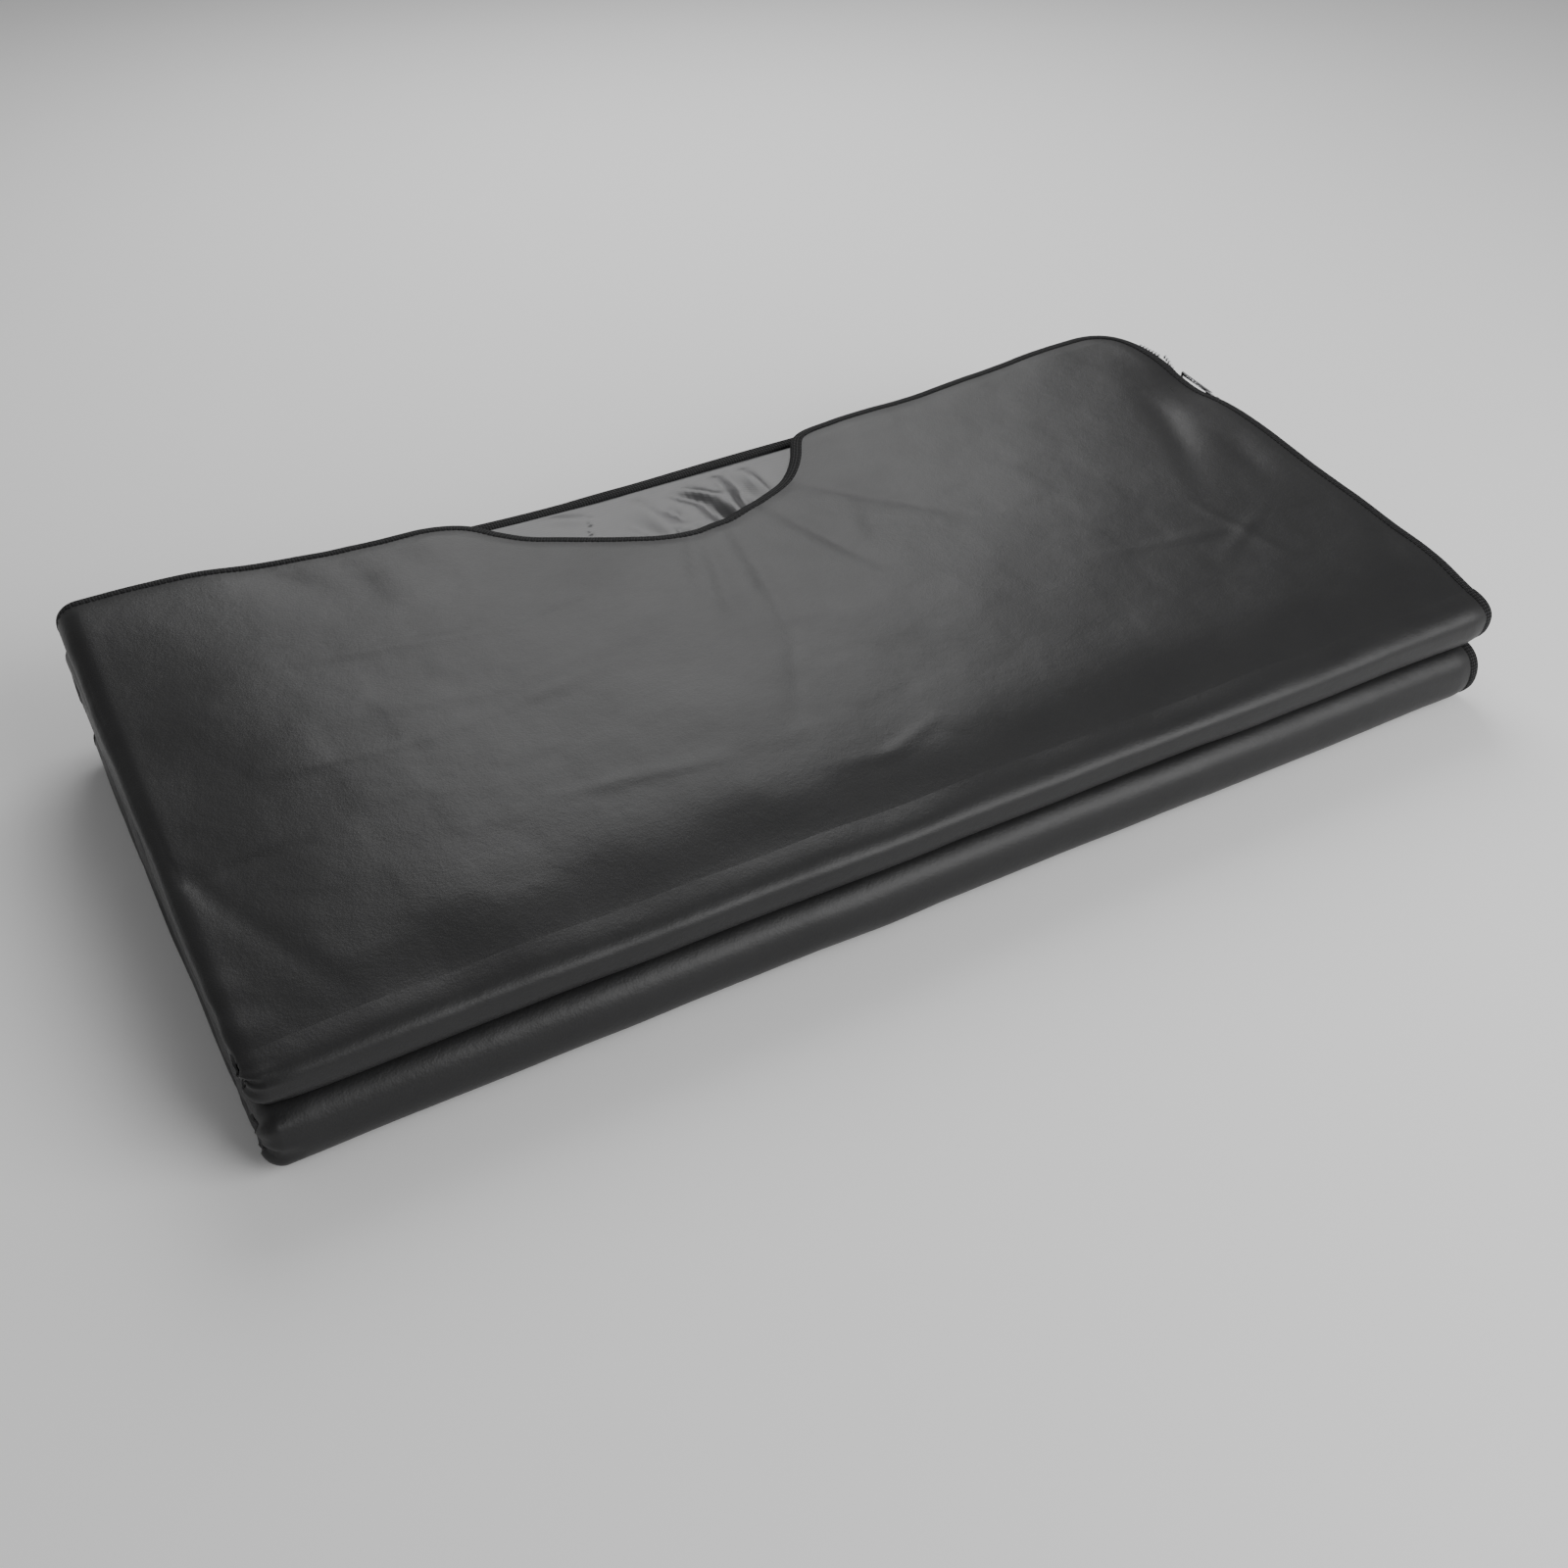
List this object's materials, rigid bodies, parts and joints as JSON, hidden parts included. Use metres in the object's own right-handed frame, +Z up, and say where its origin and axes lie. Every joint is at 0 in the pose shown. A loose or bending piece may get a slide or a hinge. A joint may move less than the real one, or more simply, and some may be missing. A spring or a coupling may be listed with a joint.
{
  "type": "infrared sauna blanket",
  "caption": "Infrared sauna blanket: padded zip-up leatherette bag with bound edges and a neck cut-out, folded into a flat stack that unfolds.",
  "frame": {"origin": "on the floor, in the middle of the folded package", "axes": "+X along the blanket's width towards the zip side, +Y from the front folds to the head edge, +Z up"},
  "size_m": [0.869, 0.4546, 0.1239],
  "materials": {
    "outer_leather": "satin grained artificial leather",
    "insulation": "soft batt",
    "lining": "shiny coated cloth",
    "heater": "carbon fibre mat",
    "binding_tape": "ribbed matt tape",
    "zip_tape": "woven matt",
    "zip_metal": "polished",
    "socket_plastic": "matt",
    "cutoff_metal": "satin",
    "lead": "silicone sheath"
  },
  "bodies": {
    "foot_panel": {"shell_4": "outer_leather", "insulation_4": "insulation", "lining_4": "lining", "heater_cover_4": "heater", "heater_base_4": "heater", "binding_cover_4": "binding_tape", "binding_base_4": "binding_tape", "fold_leather_lower_front": "outer_leather", "fold_insulation_lower_front": "insulation", "fold_lining_lower_front": "lining", "fold_inner_sheet_lower_front": "outer_leather", "fold_binding_outer_lower_front": "binding_tape", "fold_binding_inner_lower_front": "binding_tape", "zip_chain_4": "zip_tape", "power_socket": "socket_plastic", "thermal_cutoff": "cutoff_metal", "socket_lead": "lead"},
    "shin_panel": {"shell_3": "outer_leather", "insulation_3": "insulation", "lining_3": "lining", "heater_cover_3": "heater", "heater_base_3": "heater", "binding_cover_3": "binding_tape", "binding_base_3": "binding_tape", "fold_leather_back": "outer_leather", "fold_insulation_back": "insulation", "fold_lining_back": "lining", "fold_inner_sheet_back": "outer_leather", "fold_binding_outer_back": "binding_tape", "fold_binding_inner_back": "binding_tape", "zip_chain_3": "zip_tape"},
    "hip_panel": {"shell_2": "outer_leather", "insulation_2": "insulation", "lining_2": "lining", "heater_cover_2": "heater", "heater_base_2": "heater", "binding_cover_2": "binding_tape", "binding_base_2": "binding_tape", "fold_leather_upper_front": "outer_leather", "fold_insulation_upper_front": "insulation", "fold_lining_upper_front": "lining", "fold_inner_sheet_upper_front": "outer_leather", "fold_binding_outer_upper_front": "binding_tape", "fold_binding_inner_upper_front": "binding_tape", "zip_chain_2": "zip_tape"},
    "head_panel": {"shell_1": "outer_leather", "insulation_1": "insulation", "lining_1": "lining", "heater_cover_1": "heater", "heater_base_1": "heater", "binding_cover_1": "binding_tape", "binding_base_1": "binding_tape", "zip_teeth_cover": "zip_metal", "zip_teeth_base": "zip_metal", "zip_tape_cover": "zip_tape", "zip_tape_base": "zip_tape", "zip_top_stop": "zip_metal", "temperature_sensor": "lead"},
    "slider": {"zip_slider": "zip_metal"},
    "pull": {"zip_pull": "zip_metal"}
  },
  "joints": [
    {"name": "lower_front_fold", "type": "hinge", "parent": "foot_panel", "child": "shin_panel", "pos_m": [0, -0.205, 0.0225], "axis": [1, 0, 0], "range_deg": [0, 177]},
    {"name": "back_fold", "type": "hinge", "parent": "shin_panel", "child": "hip_panel", "pos_m": [0, 0.19625, 0.0625], "axis": [-1, 0, 0], "range_deg": [0, 177]},
    {"name": "upper_front_fold", "type": "hinge", "parent": "hip_panel", "child": "head_panel", "pos_m": [0, -0.205, 0.0675], "axis": [1, 0, 0], "range_deg": [0, 177]},
    {"name": "zip_slide", "type": "slide", "parent": "head_panel", "child": "slider", "axis": [0, 0.9971, 0.0761], "range_m": [-0.248, 0.06]},
    {"name": "pull_swing", "type": "hinge", "parent": "slider", "child": "pull", "pos_m": [0.4323, 0.07526, 0.10014], "axis": [0, 0.0761, -0.9971], "range_deg": [0, 170]}
  ]
}
